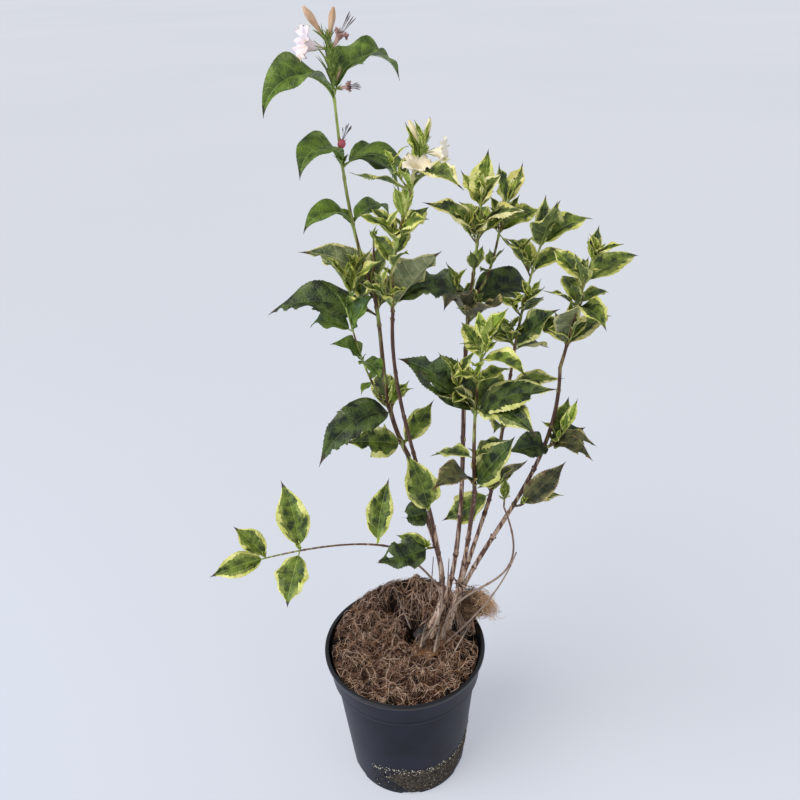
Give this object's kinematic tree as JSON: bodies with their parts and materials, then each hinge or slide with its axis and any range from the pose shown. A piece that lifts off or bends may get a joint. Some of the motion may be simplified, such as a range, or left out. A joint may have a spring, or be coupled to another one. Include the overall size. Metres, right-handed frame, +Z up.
{
  "type": "potted weigela shrub",
  "caption": "Young upright variegated weigela with reverted green shoots and a few pale flowers, in a round dark nursery pot of coir mix.",
  "frame": {"origin": "centre of the flat underside of the pot", "axes": "+Z up along the pot's axis; +X to the right and +Y away when the plant is seen from its front"},
  "size_m": [0.4758, 0.2323, 0.9619],
  "materials": {
    "pot_plastic": "matte, dusty",
    "coir_mix": "rough fibre",
    "coir_fibre": "loose fibre",
    "cane_bark": "striated bark",
    "twig_bark": "smooth young bark",
    "dead_wood": "weathered wood",
    "green_leaves": "satin leaf",
    "variegated_leaves": "satin leaf with pale margins",
    "blossom": "soft petal",
    "leaf_margin": "satin leaf margin"
  },
  "bodies": {
    "root": {"pot": "pot_plastic", "soil": "coir_mix", "crown": "cane_bark", "fibre_tuft": "coir_fibre", "cane_left_tall": "cane_bark", "cane_left_slim": "cane_bark", "cane_middle_tall": "cane_bark", "cane_middle_short": "cane_bark", "cane_right_inner": "cane_bark", "cane_right_outer": "cane_bark", "twig_low_left": "twig_bark", "twig_low_right": "twig_bark", "twig_low_right_dead": "twig_bark", "dead_stub_1": "dead_wood", "dead_stub_2": "dead_wood", "dead_stub_3": "dead_wood", "dead_stub_4": "dead_wood", "dead_stub_5": "dead_wood", "dead_stub_6": "dead_wood", "leaves_green_top": "green_leaves", "leaves_left_tall": "variegated_leaves", "leaves_left_side": "green_leaves", "leaves_left_low": "variegated_leaves", "leaves_left_foot": "variegated_leaves", "leaves_left_slim": "variegated_leaves", "leaves_middle_tall": "variegated_leaves", "leaves_middle_short": "variegated_leaves", "leaves_right_inner": "variegated_leaves", "leaves_right_outer": "variegated_leaves", "leaves_right_side": "variegated_leaves", "leaves_right_low": "variegated_leaves", "leaves_low_right": "variegated_leaves", "leaves_low_left": "variegated_leaves"}
  },
  "joints": []
}
